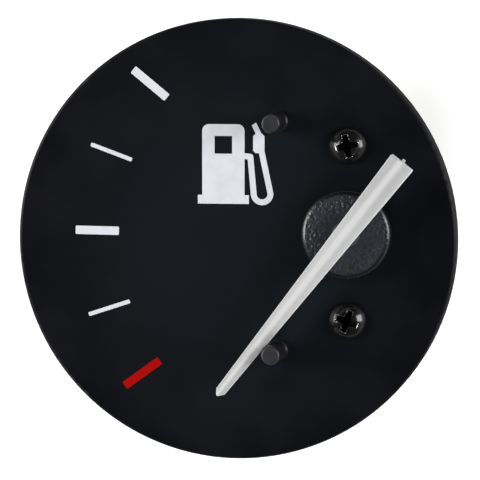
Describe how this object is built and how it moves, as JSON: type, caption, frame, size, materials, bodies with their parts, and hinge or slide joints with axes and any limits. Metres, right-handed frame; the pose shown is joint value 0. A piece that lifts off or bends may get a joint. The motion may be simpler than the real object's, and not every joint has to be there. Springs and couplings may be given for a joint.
{
  "type": "fuel gauge",
  "caption": "Round black fuel gauge insert for an instrument cluster: white needle on a moving-magnet spindle, fuel scale with pump sign, stop pegs, and contact studs at the back.",
  "frame": {"origin": "on the dial's centre line, at the level of the contact studs' ends", "axes": "+Z out of the dial's face towards the driver, +Y to the top of the dial, +X to the dial's right"},
  "size_m": [0.06, 0.06, 0.044],
  "materials": {
    "dial_black": "satin black moulding",
    "white_ink": "printed ink",
    "red_ink": "printed ink",
    "peg_black": "half-gloss black moulding",
    "black_zinc": "black zinc plate, bright at the edges",
    "moulded_black": "moulded",
    "turned_brass": "turned",
    "zinc_steel": "zinc plated",
    "can_steel": "drawn sheet, satin",
    "natural_plastic": "natural moulding",
    "enamelled_wire": "enamelled copper wire, wound close",
    "magnet_grey": "sintered, dark grey",
    "stud_brass": "rolled thread, lightly plated",
    "tinned_brass": "tinned",
    "tinned_wire": "tinned wire",
    "resistor_body": "lacquered",
    "needle_white": "satin white moulding",
    "hub_grey": "spark-eroded moulding, dark grey",
    "spindle_steel": "ground"
  },
  "bodies": {
    "gauge": {"dial_plate": "dial_black", "scale_marks": "white_ink", "empty_mark": "red_ink", "pump_sign": "white_ink", "stop_pegs": "peg_black", "dial_screws": "black_zinc", "bridge_plate": "moulded_black", "spacers": "turned_brass", "spacer_screws": "zinc_steel", "shield_can": "can_steel", "lower_bobbin": "natural_plastic", "upper_bobbin": "natural_plastic", "inner_coil": "enamelled_wire", "outer_coil": "enamelled_wire", "lower_bearing": "turned_brass", "upper_bearing": "turned_brass", "return_magnet": "magnet_grey", "terminal_base": "moulded_black", "contact_studs": "stud_brass", "terminal_tags": "tinned_brass", "lock_washers": "zinc_steel", "stud_nuts": "stud_brass", "resistor": "resistor_body", "resistor_legs": "tinned_wire", "coil_leads": "enamelled_wire"},
    "pointer": {"needle": "needle_white", "hub_cap": "hub_grey", "pointer_bush": "turned_brass", "spindle": "spindle_steel", "rotor_magnet": "magnet_grey"}
  },
  "joints": [
    {"name": "pointer_swing", "type": "hinge", "parent": "gauge", "child": "pointer", "pos_m": [0.0153, 0.001, 0.0372], "axis": [0, 0, -1], "range_deg": [0, 101.4], "stiffness_Nm_per_rad": 0.00002, "springref_deg": -5.73}
  ]
}
